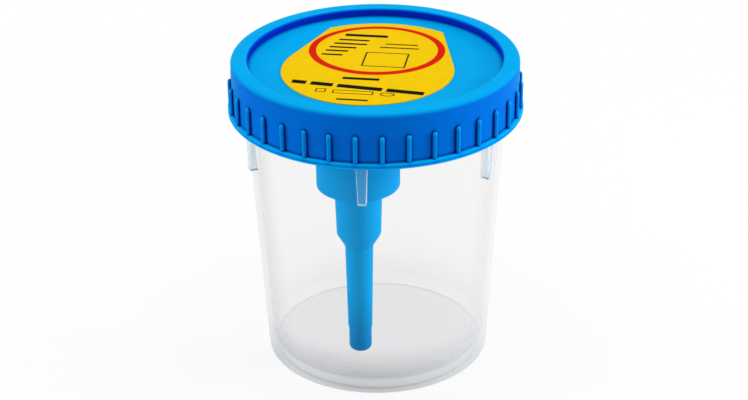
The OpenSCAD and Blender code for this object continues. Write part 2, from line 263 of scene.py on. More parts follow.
def add(tree, kind, values=None, **settings):
    """New node. The values are for its sockets, by their names, and the settings are its own."""
    node = tree.nodes.new(kind)
    for key, value in settings.items():
        setattr(node, key, value)
    for socket, value in (values or {}).items():
        node.inputs[socket].default_value = value
    return node


def new_material(name):
    mat = bpy.data.materials.new(name)
    mat.use_nodes = True
    tree = mat.node_tree
    tree.nodes.clear()
    return mat, tree, add(tree, "ShaderNodeOutputMaterial")


def object_place(tree):
    """The place on the object, in its own space and in metres."""
    return add(tree, "ShaderNodeTexCoord").outputs["Object"]


def surface_normal(tree):
    return add(tree, "ShaderNodeNewGeometry").outputs["Normal"]


def z_part(tree, vector):
    parts = add(tree, "ShaderNodeSeparateXYZ")
    tree.links.new(vector, parts.inputs[0])
    return parts.outputs["Z"]


def noise(tree, scale, detail=3.0, roughness=0.5):
    """Noise in object space, in blobs of about 1/scale metres."""
    tex = add(tree, "ShaderNodeTexNoise", {"Scale": scale, "Detail": detail, "Roughness": roughness})
    tree.links.new(object_place(tree), tex.inputs["Vector"])
    return tex.outputs["Fac"]


def spread(tree, value, low, high, from_low=NOISE_LOW, from_high=NOISE_HIGH, kind="LINEAR"):
    """Maps a value from the range from_low..from_high on to low..high."""
    ends = {"From Min": from_low, "From Max": from_high, "To Min": low, "To Max": high}
    node = add(tree, "ShaderNodeMapRange", ends, interpolation_type=kind)
    tree.links.new(value, node.inputs["Value"])
    return node.outputs["Result"]


def blobs(tree, scale):
    """Noise spread over 0 to 1."""
    return spread(tree, noise(tree, scale), 0.0, 1.0)


def uneven_gloss(tree, shader, scale, low, high):
    """Roughness that wanders between two values."""
    tree.links.new(spread(tree, noise(tree, scale), low, high), shader.inputs["Roughness"])


def calculate(tree, operation, *values, clamp=False):
    """Sum, product or the like of one or two values."""
    node = add(tree, "ShaderNodeMath", operation=operation, use_clamp=clamp)
    for value, socket in zip(values, node.inputs):
        tree.links.new(value, socket)
    return node.outputs[0]


def measure(tree, operation, *vectors):
    """One number from one or two vectors."""
    node = add(tree, "ShaderNodeVectorMath", operation=operation)
    for vector, socket in zip(vectors, node.inputs):
        tree.links.new(vector, socket)
    return node.outputs["Value"]


def mix_colour(tree, factor, a, b):
    """Colour a where the factor is 0 and b where it is 1. Each is a tuple or a socket."""
    node = add(tree, "ShaderNodeMix", data_type="RGBA")
    tree.links.new(factor, node.inputs[0])
    for socket, colour in ((node.inputs[6], a), (node.inputs[7], b)):
        if isinstance(colour, tuple):
            socket.default_value = (*colour, 1.0)
        else:
            tree.links.new(colour, socket)
    return node.outputs[2]


def mix_shaders(tree, factor, a, b):
    """Shader a where the factor is 0 and b where it is 1. The factor is a number or a socket."""
    node = add(tree, "ShaderNodeMixShader")
    if isinstance(factor, float):
        node.inputs["Fac"].default_value = factor
    else:
        tree.links.new(factor, node.inputs["Fac"])
    tree.links.new(a, node.inputs[1])
    tree.links.new(b, node.inputs[2])
    return node.outputs["Shader"]


def bump(tree, shader, scale, strength, depth_mm):
    """Fine relief, in blobs of about 1/scale metres."""
    node = add(tree, "ShaderNodeBump", {"Strength": strength, "Distance": depth_mm * MM})
    tree.links.new(noise(tree, scale, 2.0), node.inputs["Height"])
    tree.links.new(node.outputs["Normal"], shader.inputs["Normal"])


def occlusion(tree, distance_mm, inside=False):
    """1 in the open and less in a corner. With inside set, 1 in thick plastic and less at thin edges."""
    reach = {"Distance": distance_mm * MM}
    node = add(tree, "ShaderNodeAmbientOcclusion", reach, samples=8, only_local=True, inside=inside)
    return node.outputs["AO"]


def edge_on(tree, blend):
    """0 where a surface faces the eye and 1 where it is seen edge on."""
    return add(tree, "ShaderNodeLayerWeight", {"Blend": blend}).outputs["Facing"]


def seen_directly(tree, kinds=("Is Glossy Ray", "Is Transmission Ray")):
    """1 for rays that show a surface to the eye: camera rays, and rays of the kinds named."""
    path = add(tree, "ShaderNodeLightPath")
    total = path.outputs["Is Camera Ray"]
    for name in kinds:
        total = calculate(tree, "MAXIMUM", total, path.outputs[name])
    return total


def show(tree, out, shader):
    """Makes the shader the material's surface."""
    tree.links.new(shader, out.inputs["Surface"])


# ---------------------------------------------------------------- materials
# Colours are linear red, green and blue. Each RANGE is the stretch over which one look turns into another.
# Coloured plastic and film. A SHADE is how much darker the noise's low end is.
PLASTIC_GLOSS, FILM_GLOSS, SHEEN_ROUGH = 0.008, 0.01, 0.25
FLOW_SHADE, INK_SHADE = 0.94, 0.95
# Painted light and shade on coloured plastic: over UPWARD_RANGE of the normal's Z a face turns from the
# painted shaded side colour to the painted lit one, THIN_RANGE and THIN_REACH give thin edges a painted
# highlight, and GROOVE_RANGE and GROOVE_REACH put a painted shade in grooves.
UPWARD_RANGE, THIN_RANGE, GROOVE_RANGE = (0.1, 0.95), (0.25, 0.85), (0.58, 0.96)
THIN_REACH, GROOVE_REACH = 1.0, 0.9
# The straw's side colour is painted darker towards the cup's floor between these heights, in millimetres: a
# painted shade.
LOW_RANGE = (2.0, 20.0)

# Clear plastic: what it does to the lamps' light, and the share of it that scatters light
LAMP_TINT = (0.975, 0.978, 0.982, 1.0)
MILK_ROUGH, MILK_IOR = 0.16, 1.49
EDGE_DARK, EDGE_PALE = (0.82, 0.84, 0.86), (0.88, 0.9, 0.915)

# The cup's wall: its colours, of which the upper, lighter one is reached at the top of UPPER_RANGE in
# height, so that the milk is darker towards the foot, a painted shade
WALL_TINT = (0.982, 0.98, 0.98, 1.0)
WALL_DARK, WALL_PALE, WALL_UPPER = (0.54, 0.57, 0.6), (0.61, 0.64, 0.665), (0.72, 0.72, 0.725)
UPPER_RANGE = (2.0, 16.0)
# How milky it is seen edge on, at its foot and above FOOT_FADE, and what is left of that on level
# surfaces and on surfaces that face the axis
EDGE_BLEND, EDGE_MILK, EDGE_RANGE = 0.35, 0.85, (0.4, 1.0)
FOOT_MILK, WALL_MILK, FOOT_FADE = 0.64, 0.012, 13.5
LEVEL_SHARE, LEVEL_RANGE = 0.14, (0.2, 0.8)
INNER_SHARE, INNER_RANGE = 0.12, (-4.0, 4.0)

# The cup's ribs: glass, filled with a little cyan-blue milk, a painted blue light from the lid above
# them, and milkier where they are seen edge on
RIB_TINT, RIB_IOR, RIB_ROUGH, RIB_FILL = (0.99, 0.995, 1.0, 1.0), 1.42, 0.06, 0.16
RIB_BLUE_LIGHT_DARK, RIB_BLUE_LIGHT_PALE = (0.2, 0.78, 0.95), (0.24, 0.84, 1.0)
RIB_EDGE_BLEND, RIB_EDGE_MILK, RIB_EDGE_RANGE = 0.4, 0.9, (0.18, 0.55)


def shaded(colour, share):
    return tuple(c * share for c in colour)


def in_metres(ends):
    return [end * MM for end in ends]


def moulded_plastic(name, lit, side, groove_shade, rough, thin=None, low=None, sheen=0.0, tint=(1.0, 1.0, 1.0)):
    """Coloured moulded plastic with a fine grain, with light and shade painted into its colour. Surfaces
    that face up take the painted lit colour, others the painted shaded side colour, grooves take a painted
    shade and thin edges a painted highlight. The low colour, if any, is a painted shade that darkens the
    side colour near the cup's floor."""
    mat, tree, out = new_material(name)
    looks = {"Specular IOR Level": PLASTIC_GLOSS, "Sheen Weight": sheen, "Sheen Roughness": SHEEN_ROUGH,
             "Sheen Tint": (*tint, 1.0)}
    shader = add(tree, "ShaderNodeBsdfPrincipled", looks)
    top = mix_colour(tree, blobs(tree, FLOW), shaded(lit, FLOW_SHADE), lit)
    # Painted shade: the side colour darkens to the low colour towards the cup's floor.
    if low:
        height = spread(tree, z_part(tree, object_place(tree)), 0.0, 1.0, *in_metres(LOW_RANGE))
        side = mix_colour(tree, height, low, side)
    # Painted light and shade: faces that turn up take the lit colour, the others the shaded side colour.
    upward = spread(tree, z_part(tree, surface_normal(tree)), 0.0, 1.0, *UPWARD_RANGE)
    body = mix_colour(tree, upward, side, top)
    # Painted highlight on thin edges, standing in for light coming through the thin plastic.
    if thin:
        depth = spread(tree, occlusion(tree, THIN_REACH, inside=True), 0.0, 1.0, *THIN_RANGE)
        body = mix_colour(tree, depth, thin, body)
    # Painted shade: grooves and corners darken to the groove shade colour.
    groove = spread(tree, occlusion(tree, GROOVE_REACH), 0.0, 1.0, *GROOVE_RANGE)
    tree.links.new(mix_colour(tree, groove, groove_shade, body), shader.inputs["Base Color"])
    uneven_gloss(tree, shader, WEAR, rough - 0.03, rough + 0.04)
    bump(tree, shader, GRAIN, strength=0.12, depth_mm=0.03)
    show(tree, out, shader.outputs["BSDF"])
    return mat


def lamps_pass(tree, out, shader):
    """Shows the shader to the eye, and a faint clear tint to the lamps' light."""
    passing = add(tree, "ShaderNodeBsdfTransparent", {"Color": LAMP_TINT})
    lamp_ray = add(tree, "ShaderNodeLightPath").outputs["Is Shadow Ray"]
    show(tree, out, mix_shaders(tree, lamp_ray, shader, passing.outputs["BSDF"]))


def milky(tree, dark, pale, height=None, upper=None):
    """The share of clear plastic that scatters light. Where height nears 1 it takes the upper colour; in the
    cup's wall that is lighter, so lower down the milk carries a painted shade.
    """
    milk = add(tree, "ShaderNodeBsdfPrincipled", {"Roughness": MILK_ROUGH, "IOR": MILK_IOR})
    colour = mix_colour(tree, blobs(tree, CLOUD), dark, pale)
    if upper:
        colour = mix_colour(tree, height, colour, upper)
    tree.links.new(colour, milk.inputs["Base Color"])
    bump(tree, milk, RIPPLE, strength=0.06, depth_mm=0.03)
    return milk.outputs["BSDF"]


def wall_milk(tree, place_z):
    """How milky the cup is: at edges seen side on and towards its foot, but less on level surfaces, and
    hardly on surfaces that face its axis, where light from behind makes up for the cloudiness."""
    edge = spread(tree, edge_on(tree, EDGE_BLEND), 0.0, EDGE_MILK, *EDGE_RANGE)
    foot = spread(tree, place_z, FOOT_MILK, WALL_MILK, 0.0, FOOT_FADE * MM, "SMOOTHSTEP")
    normal = surface_normal(tree)
    level = spread(tree, calculate(tree, "ABSOLUTE", z_part(tree, normal)), 1.0, LEVEL_SHARE, *LEVEL_RANGE)
    outward = measure(tree, "DOT_PRODUCT", object_place(tree), normal)
    inner = spread(tree, outward, INNER_SHARE, 1.0, *in_metres(INNER_RANGE))
    upright = calculate(tree, "MULTIPLY", calculate(tree, "ADD", edge, foot, clamp=True), level)
    return calculate(tree, "MULTIPLY", upright, inner)


def clear_plastic(name):
    """Thin, slightly milky moulded plastic, seen through where it faces the eye."""
    mat, tree, out = new_material(name)
    see = add(tree, "ShaderNodeBsdfTransparent", {"Color": WALL_TINT})
    place_z = z_part(tree, object_place(tree))
    # Painted shade: the wall's milk is darker near the foot and turns to the lighter upper colour higher up.
    height = spread(tree, place_z, 0.0, 1.0, *in_metres(UPPER_RANGE))
    milk = milky(tree, WALL_DARK, WALL_PALE, height, WALL_UPPER)
    lamps_pass(tree, out, mix_shaders(tree, wall_milk(tree, place_z), see.outputs["BSDF"], milk))
    return mat


def rib_plastic(name):
    """The same plastic where it is thick enough to bend what is behind it, with a painted blue light inside.
    """
    mat, tree, out = new_material(name)
    bend = add(tree, "ShaderNodeBsdfGlass", {"Color": RIB_TINT, "IOR": RIB_IOR})
    uneven_gloss(tree, bend, HAZE, 0.0, RIB_ROUGH)
    # Painted blue light: a share of cyan-blue milk, standing in for blue light from the lid above the rib.
    filled = mix_shaders(tree, RIB_FILL, bend.outputs["BSDF"], milky(tree, RIB_BLUE_LIGHT_DARK, RIB_BLUE_LIGHT_PALE))
    edge = spread(tree, edge_on(tree, RIB_EDGE_BLEND), 0.0, RIB_EDGE_MILK, *RIB_EDGE_RANGE)
    lamps_pass(tree, out, mix_shaders(tree, edge, filled, milky(tree, EDGE_DARK, EDGE_PALE)))
    return mat


def printed_film(name, colour, rough=0.38):
    """Printed label film: one ink, a little uneven, with the film's own sheen."""
    mat, tree, out = new_material(name)
    shader = add(tree, "ShaderNodeBsdfPrincipled", {"Specular IOR Level": FILM_GLOSS})
    uneven = mix_colour(tree, blobs(tree, INK_FLOW), shaded(colour, INK_SHADE), colour)
    tree.links.new(uneven, shader.inputs["Base Color"])
    uneven_gloss(tree, shader, FILM_WEAR, rough - 0.04, rough + 0.05)
    bump(tree, shader, FILM_GRAIN, strength=0.05, depth_mm=0.02)
    show(tree, out, shader.outputs["BSDF"])
    return mat


def drawn_steel(name, dark=(0.5, 0.51, 0.53), pale=(0.66, 0.67, 0.69)):
    mat, tree, out = new_material(name)
    shader = add(tree, "ShaderNodeBsdfPrincipled", {"Metallic": 1.0})
    tree.links.new(mix_colour(tree, blobs(tree, STREAKS), dark, pale), shader.inputs["Base Color"])
    uneven_gloss(tree, shader, POLISH, 0.2, 0.34)
    show(tree, out, shader.outputs["BSDF"])
    return mat


# ---------------------------------------------------------------- cup
CUP_SLOPE = (NECK_R - CUP_BASE_R) / SKIRT_FOOT
# A face below the lid that stands out past the wall by more than this is part of a rib.
RIB_FACE_OUT, RIB_FACE_LOW = 0.06, RIB_FOOT - 0.3
RIB_FACES = 1


def wall_r(z):
    """Outside radius of the cup at height z: it widens up to the lid, and its neck is straight."""
    return CUP_BASE_R + CUP_SLOPE * min(SKIRT_FOOT, z)


def cup_profile():
    """The cup's outline, from the middle of its floor up the inside and down the outside."""
    bore = NECK_R - CUP_WALL
    floor_edge = wall_r(FLOOR_TOP) - CUP_WALL
    lean = math.degrees(math.atan(CUP_SLOPE))
    foot_r = CUP_BASE_R - FOOT_W
    round_x = floor_edge + CUP_SLOPE * FLOOR_ROUND - FLOOR_ROUND / math.cos(math.radians(lean))
    return [
        (0.0, FLOOR_TOP),
        *arc(round_x, FLOOR_TOP + FLOOR_ROUND, FLOOR_ROUND, -90, -lean, 9),
        (bore, SKIRT_FOOT),
        *arc(bore + LIP_ROUND, CUP_TOP - LIP_ROUND, LIP_ROUND, 180, 90),
        *arc(NECK_R - LIP_ROUND, CUP_TOP - LIP_ROUND, LIP_ROUND, 90, 0),
        (NECK_R, SKIRT_FOOT),
        *arc(wall_r(BASE_ROUND) - BASE_ROUND, BASE_ROUND, BASE_ROUND, -lean, -90, 15),
        *arc(foot_r + FOOT_ROUND, FOOT_ROUND, FOOT_ROUND, 270, 180, 30),
        *arc(foot_r - RECESS_ROUND, FOOT_H - RECESS_ROUND, RECESS_ROUND, 0, 90, 30),
        (0.0, FOOT_H),
    ]


def rib_block(name, direction):
    """One tapered box rib, with softened outer edges, reaching into the wall."""
    inner, outer = NECK_R - RIB_ROOT, NECK_R + RIB_OUT
    low, high = RIB_W_LOW / 2, RIB_W_HIGH / 2
    corners = [(x, y, z) for z, half in ((RIB_FOOT, low), (RIB_TOP, high))
               for x, y in ((inner, -half), (outer, -half), (outer, half), (inner, half))]
    faces = [(3, 2, 1, 0), (4, 5, 6, 7), (0, 1, 5, 4), (1, 2, 6, 5), (2, 3, 7, 6), (3, 0, 4, 7)]
    rib = new_object(name, corners, faces)
    bm = bmesh.new()
    bm.from_mesh(rib.data)
    front = [e for e in bm.edges if all(v.co.x > (outer - RIB_ROUND) * MM for v in e.verts)]
    foot = [e for e in bm.edges if all(v.co.z < (RIB_FOOT + RIB_ROUND) * MM for v in e.verts)]
    edges = front + [e for e in foot if e not in front]
    bmesh.ops.bevel(bm, geom=edges, offset=RIB_ROUND * MM, segments=3, profile=0.5, affect="EDGES")
    turn = Matrix.Rotation(math.radians(direction - 90), 4, "Z")
    bmesh.ops.transform(bm, matrix=turn, verts=bm.verts)
    bm.to_mesh(rib.data)
    bm.free()
    return rib


def cup_hollow():
    """The inside of the cup, to cut the ribs' roots back to the wall."""
    low, high = RIB_FOOT - HOLLOW_BELOW, RIB_TOP + HOLLOW_ABOVE
    outline = [(0.0, low), (wall_r(low) - CUP_WALL, low), (wall_r(high) - CUP_WALL, high), (0.0, high)]
    return revolve("cup_hollow", outline, CUP_STEPS)


def build_cup(materials):
    """The cup, its ribs and its thread. The materials are those of the wall and the ribs."""
    cup = revolve("cup_body", cup_profile(), CUP_STEPS)
    for i in range(RIB_COUNT):
        rib = rib_block("rib", RIB_PHASE + 360 * i / RIB_COUNT)
        combine(rib, cup_hollow(), "DIFFERENCE")
        combine(cup, rib, "UNION")
    combine(cup, thread_ridge("ridge", NECK_R, CUP_THREAD_H, 1, CUP_THREAD_Z, CUP_THREAD_START), "UNION")
    smooth(cup)
    finish_piece(cup, "cup", "cup", materials)
    for face in cup.data.polygons:
        x, y, z = (c / MM for c in face.center)
        if RIB_FACE_LOW < z < SKIRT_FOOT and math.hypot(x, y) > wall_r(z) + RIB_FACE_OUT:
            face.material_index = RIB_FACES


# ---------------------------------------------------------------- lid
# The lid's faces take lit and shaded copies of its plastic: the well a painted light, the rim's inside a
# painted shade, and the bead and its lower edge painted highlights.
LID_FACES, WELL_FACES, RECESS_FACES, BEAD_FACES, EDGE_FACES = range(5)
# How far past its size a face still counts as part of the well, the rim's inside and the bead
WELL_REACH, WELL_BELOW, RECESS_REACH, BEAD_REACH_UP, BEAD_REACH_IN = 0.1, 0.05, 1.0, 0.02, 0.12
# How far a face's normal has to point at the axis to be one of the rim's inside
RECESS_FACING = 0.5


def lid_profile():
    """The lid's outline, from the middle of its underside, over the bead and the rim, to its panel."""
    bead_top = SKIRT_FOOT + BEAD_H
    plug_inner_r = PLUG_R - PLUG_T
    return [
        (0.0, CUP_TOP),
        *arc(plug_inner_r - PLUG_FILLET, CUP_TOP - PLUG_FILLET, PLUG_FILLET, 90, 0, 30),
        *arc(plug_inner_r + PLUG_ROUND, PLUG_FOOT + PLUG_ROUND, PLUG_ROUND, 180, 270, 30),
        (PLUG_R - PLUG_LEAD_W, PLUG_FOOT),
        (PLUG_R, PLUG_FOOT + PLUG_LEAD_H),
        (PLUG_R, CUP_TOP),
        (RIM_CORE_R, CUP_TOP),
        (RIM_CORE_R, RIM_CORE_TOP),
        *arc(SKIRT_BORE_R - RIM_CORE_ROUND, RIM_CORE_TOP - RIM_CORE_ROUND, RIM_CORE_ROUND, 90, 0, 30),
        *arc(SKIRT_BORE_R + SKIRT_ROUND, SKIRT_FOOT + SKIRT_ROUND, SKIRT_ROUND, 180, 270, 30),
        *arc(LID_R - BEAD_LOW_ROUND, SKIRT_FOOT + BEAD_LOW_ROUND, BEAD_LOW_ROUND, -90, 0, 15),
        *arc(LID_R - BEAD_TOP_ROUND, bead_top - BEAD_TOP_ROUND, BEAD_TOP_ROUND, 0, 90, 15),
        *arc(SKIRT_R + BEAD_FILLET, bead_top + BEAD_FILLET, BEAD_FILLET, 270, 180, 30),
        *arc(SKIRT_R - SHOULDER_R, LID_TOP - SHOULDER_R, SHOULDER_R, 0, 90, 6),
        *arc(RIM_R + RIM_ROUND, LID_TOP - RIM_ROUND, RIM_ROUND, 90, 180, 12),
        *arc(RIM_R - PANEL_FILLET, PANEL_TOP + PANEL_FILLET, PANEL_FILLET, 0, -90, 18),
        (0.0, PANEL_TOP),
    ]


def grip_rod(name, direction):
    """One half-round grip rib: a rod with a domed top, sunk into the skirt."""
    foot = SKIRT_FOOT + BEAD_H * GRIP_START
    centre = LID_R - GRIP_R - GRIP_INSET
    dome = GRIP_TOP - GRIP_R
    outline = [(0.0, foot), (GRIP_R, foot), *arc(0.0, dome, GRIP_R, 0, 90, 15)[:-1], (0.0, GRIP_TOP)]
    a = math.radians(direction - 90)
    return revolve(name, outline, ROD_STEPS, (centre * math.cos(a), centre * math.sin(a)))


def join_all(name, objects):
    """One object from several separate closed meshes."""
    bm = bmesh.new()
    for obj in objects:
        bm.from_mesh(obj.data)
        bpy.data.objects.remove(obj)
    mesh = bpy.data.meshes.new(name)
    bm.to_mesh(mesh)
    bm.free()
    joined = bpy.data.objects.new(name, mesh)
    bpy.context.scene.collection.objects.link(joined)
    return joined


def well_outside():
    """Outline of the solid that the well and its spigot add under the panel."""
    return [
        (0.0, CUP_TOP + WELL_ROOT),
        (WELL_R, CUP_TOP + WELL_ROOT),
        *arc(WELL_R - WELL_ROUND, WELL_FOOT + WELL_ROUND, WELL_ROUND, 0, -90, 18),
        (SPIGOT_R, WELL_FOOT),
        *arc(SPIGOT_R - WELL_ROUND, SPIGOT_FOOT + WELL_ROUND, WELL_ROUND, 0, -90, 30),
        (0.0, SPIGOT_FOOT),
    ]


def well_inside():
    """Outline of the hollow that is cut through the panel, the well and the spigot."""
    bore = WELL_R - WELL_WALL
    return [
        (0.0, PANEL_TOP + CUT_PAST),
        (bore + WELL_CHAMFER, PANEL_TOP + CUT_PAST),
        (bore + WELL_CHAMFER, PANEL_TOP),
        (bore, PANEL_TOP - WELL_CHAMFER),
        *arc(bore - WELL_FLOOR_ROUND, WELL_FLOOR + WELL_FLOOR_ROUND, WELL_FLOOR_ROUND, 0, -90, 18),
        (HUB_BORE_R, WELL_FLOOR),
        (HUB_BORE_R, SPIGOT_FOOT - CUT_PAST),
        (0.0, SPIGOT_FOOT - CUT_PAST),
    ]


def lid_face_material(centre, normal):
    """Which of the lid's materials a face takes, from its centre in millimetres and its normal: painted
    light on the well, the bead and its lower edge, and painted shade on the rim's inside where it faces the
    axis.
    """
    r = centre.xy.length
    inward = -normal.xy.dot(centre.xy) / r
    if centre.z < SKIRT_FOOT + BEAD_H + BEAD_REACH_UP and r > SKIRT_R + BEAD_REACH_IN:
        return EDGE_FACES if centre.z < SKIRT_FOOT + BEAD_LOW_ROUND else BEAD_FACES
    if inward > RECESS_FACING and centre.z > PANEL_TOP and r > RIM_R - RECESS_REACH:
        return RECESS_FACES
    from_well = (centre.xy - Vector((WELL_X, WELL_Y))).length
    if centre.z < CUP_TOP - WELL_BELOW and from_well < WELL_R + WELL_REACH:
        return WELL_FACES
    return LID_FACES


def build_lid(materials):
    """The lid with its grips, thread and well. Its materials are in the order of the FACES numbers."""
    lid = revolve("lid_body", lid_profile(), LID_STEPS)
    rods = [grip_rod("rod", GRIP_PHASE + 360 * i / GRIP_COUNT) for i in range(GRIP_COUNT)]
    combine(lid, join_all("rods", rods), "UNION")
    ridge = thread_ridge("ridge", SKIRT_BORE_R, LID_THREAD_H, -1, LID_THREAD_Z, LID_THREAD_START)
    combine(lid, ridge, "UNION")
    at = (WELL_X, WELL_Y)
    combine(lid, revolve("well_outside", well_outside(), WELL_STEPS, at), "UNION")
    combine(lid, revolve("well_inside", well_inside(), WELL_STEPS, at), "DIFFERENCE")
    smooth(lid)
    finish_piece(lid, "lid", "lid", materials)
    for face in lid.data.polygons:
        face.material_index = lid_face_material(face.center / MM, face.normal)


# ---------------------------------------------------------------- straw
def build_straw(material):
    """The straw, outside from its tip up, and inside down through the socket and the funnel."""
    tip_top = STRAW_FOOT + TIP_LEN
    profile = [
        (CHANNEL_R, STRAW_FOOT),
        *arc(TIP_R - TIP_ROUND, STRAW_FOOT + TIP_ROUND, TIP_ROUND, -90, 0, 10),
        *((TIP_R + out, tip_top + up) for out, up in TIP_END),
        (STRAW_LOW_R, tip_top + STEP_H),
        *((STRAW_R + out, CONE_FOOT + up) for out, up in CONE_START),
        *arc(SOCKET_LOW_R - SOCKET_ROUND, SOCKET_FOOT + SOCKET_RISE, SOCKET_ROUND, SOCKET_LEAN, 0, 8),
        (SOCKET_R, WELL_FOOT),
        (SOCKET_BORE_R, WELL_FOOT),
        (SOCKET_BORE_R, SOCKET_BOTTOM),
        (CHANNEL_R, SOCKET_BOTTOM - FUNNEL_H),
    ]
    straw = revolve("straw_body", profile, STRAW_STEPS, (WELL_X, WELL_Y))
    smooth(straw)
    finish_piece(straw, "lid", "straw", [material])


# ---------------------------------------------------------------- peel seal and its print
def seal_outline():
    """Round end towards the front, two straight sides, and a far edge that follows the lid."""
    left = math.radians(90 - SEAL_LEAN - SEAL_TAPER)
    right = math.radians(90 - SEAL_LEAN + SEAL_TAPER)
    start, end = left + math.pi / 2, right - math.pi / 2 + 2 * math.pi
    turns = [start + (end - start) * i / SEAL_STEPS for i in range(SEAL_STEPS + 1)]
    outline = [(SEAL_X + SEAL_R * math.cos(t), SEAL_Y + SEAL_R * math.sin(t)) for t in turns]

    def far_corner(x, y, angle):
        """Where the side that leaves (x, y) at an angle meets the far edge, as a direction from the axis."""
        dx, dy = math.cos(angle), math.sin(angle)
        along = x * dx + y * dy
        reach = -along + math.sqrt(along * along - x * x - y * y + SEAL_FAR_R ** 2)
        return math.atan2(y + reach * dy, x + reach * dx)

    first = far_corner(*outline[-1], right)
    last = far_corner(*outline[0], left)
    far = [first + (last - first) * i / SEAL_FAR_STEPS for i in range(SEAL_FAR_STEPS + 1)]
    return outline + [(SEAL_FAR_R * math.cos(t), SEAL_FAR_R * math.sin(t)) for t in far]


def turned(points, at, lean=PRINT_LEAN):
    """Points of a shape's own frame, turned by its lean and moved on to the panel."""
    cos_lean, sin_lean = math.cos(math.radians(lean)), math.sin(math.radians(lean))
    return [(at[0] + x * cos_lean - y * sin_lean, at[1] + x * sin_lean + y * cos_lean) for x, y in points]


def bar(at, length, height, lean=PRINT_LEAN):
    """Plain bar whose left end is centred on at."""
    h = height / 2
    return turned([(0, -h), (length, -h), (length, h), (0, h)], at, lean)


def block(at, half_w, half_h):
    """Plain rectangle round its middle."""
    return turned([(-half_w, -half_h), (half_w, -half_h), (half_w, half_h), (-half_w, half_h)], at)


def oval(at, rx, ry, steps=72):
    turns = [2 * math.pi * k / steps for k in range(steps)]
    return turned([(rx * math.cos(t), ry * math.sin(t)) for t in turns], at)


def print_shapes():
    """Outlines of the print and their inks. A later shape covers the ones before it."""
    ring_inside = (RING_AT[0], RING_AT[1] + RING_SHIFT)
    shapes = [(oval(RING_AT, RING_RX, RING_RY, RING_STEPS), RED),
              (oval(ring_inside, RING_RX - RING_W_SIDE, RING_RY - RING_W_END, RING_STEPS), YELLOW)]
    for x, y, length, height in PRINT_BARS:
        shapes.append((bar((x, y), length, height), INK))
    start = 0.0
    for share in LONG_BARS:
        left_end = turned([(start, 0.0)], LONG_AT, LONG_LEAN)[0]
        shapes.append((bar(left_end, share * LONG_W, LONG_H, LONG_LEAN), INK))
        start += (share + LONG_GAP) * LONG_W
    for x, y, half_w, half_h, line in BOXES:
        for inset, ink in ((0.0, INK), (line, YELLOW)):
            shapes.append((block((x, y), half_w - inset, half_h - inset), ink))
    for (rx, ry), ink in zip(OVAL_SIZES, (INK, YELLOW)):
        shapes.append((oval(OVAL_AT, rx, ry), ink))
    return shapes


def build_seal(inks):
    """Film cut to its outline. The print is part of its upper surface, as areas of another ink."""
    shapes = [(seal_outline(), YELLOW)] + print_shapes()
    points, loops = [], []
    for loop, _ in shapes:
        loops.append(list(range(len(points), len(points) + len(loop))))
        points += [Vector(p) for p in loop]
    verts, _, faces, _, _, covers = delaunay_2d_cdt(points, [], loops, 0, SEAL_MERGE)
    inside = [(face, max(cover)) for face, cover in zip(faces, covers) if cover]
    bm = bmesh.new()
    top = [bm.verts.new((x * MM, y * MM, SEAL_TOP * MM)) for x, y in verts]
    low = [bm.verts.new((x * MM, y * MM, PANEL_TOP * MM)) for x, y in verts]
    for face, shape in inside:
        bm.faces.new([top[k] for k in face]).material_index = shapes[shape][1]
        bm.faces.new([low[k] for k in reversed(face)])
    middle = (PANEL_TOP + SEAL_TOP) / 2 * MM
    rim = [e for e in bm.edges if len(e.link_faces) == 1 and e.verts[0].co.z > middle]
    partner = dict(zip(top, low))
    for edge in rim:
        a, b = edge.verts
        bm.faces.new((a, b, partner[b], partner[a]))
    bmesh.ops.delete(bm, geom=[v for v in bm.verts if not v.link_faces], context="VERTS")
    bmesh.ops.recalc_face_normals(bm, faces=bm.faces)
    mesh = bpy.data.meshes.new("seal_film")
    bm.to_mesh(mesh)
    bm.free()
    seal = bpy.data.objects.new("seal_film", mesh)
    bpy.context.scene.collection.objects.link(seal)
    finish_piece(seal, "lid", "peel_seal", inks)


# ---------------------------------------------------------------- build the pieces
# Painted light and shade in the blue plastic: the first colour is the painted lit colour of faces that turn
# up, the navy one the painted shade in grooves, and the bright blues the bead's painted highlights.
LIT, NAVY_SHADE = (0.0, 0.41, 0.9), (0.0, 0.002, 0.24)
TEAL, SKY = (0.0, 1.0, 0.5), (0.0, 0.8, 1.0)
HIGHLIGHT_BLUE, BEAD_GROOVE_SHADE = (0.0, 0.6, 1.0), (0.0, 0.4, 1.0)

# The lid's plastics are lit and shaded copies of one blue. Each side colour is a painted shade, the well's
# lighter one a painted light, the rim's inside a painted shade, and the bead and its lower edge painted
# highlights.
LID_LOOKS = (
    dict(name="lid_plastic", lit=LIT, side=(0.0, 0.17, 0.77), groove_shade=NAVY_SHADE, rough=0.45, thin=(0.0, 0.48, 1.0),
         sheen=0.7, tint=TEAL),
    dict(name="well_lit_plastic", lit=LIT, side=(0.0, 0.44, 1.0), groove_shade=NAVY_SHADE, rough=0.45, sheen=0.45, tint=SKY),
    dict(name="recess_shade_plastic", lit=(0.0, 0.2, 0.8), side=(0.0, 0.025, 0.5), groove_shade=NAVY_SHADE, rough=0.45),
    dict(name="bead_highlight_plastic", lit=HIGHLIGHT_BLUE, side=(0.0, 0.17, 0.95), groove_shade=BEAD_GROOVE_SHADE, rough=0.4,
         thin=(0.0, 0.7, 1.0)),
    dict(name="bead_edge_highlight_plastic", lit=HIGHLIGHT_BLUE, side=(0.0, 0.5, 1.0), groove_shade=BEAD_GROOVE_SHADE, rough=0.4,
         thin=(0.0, 0.75, 1.0)),
)
# Like the lid's, the straw's lit and side colours are painted light and shade, and its low colour is a
# painted shade near the cup's floor.
STRAW_LOOK = dict(name="straw_plastic", lit=(0.0, 0.42, 0.95), side=(0.0, 0.45, 0.97), groove_shade=(0.0, 0.08, 0.5),
                  rough=0.4, low=(0.0, 0.25, 0.64), sheen=0.45, tint=SKY)
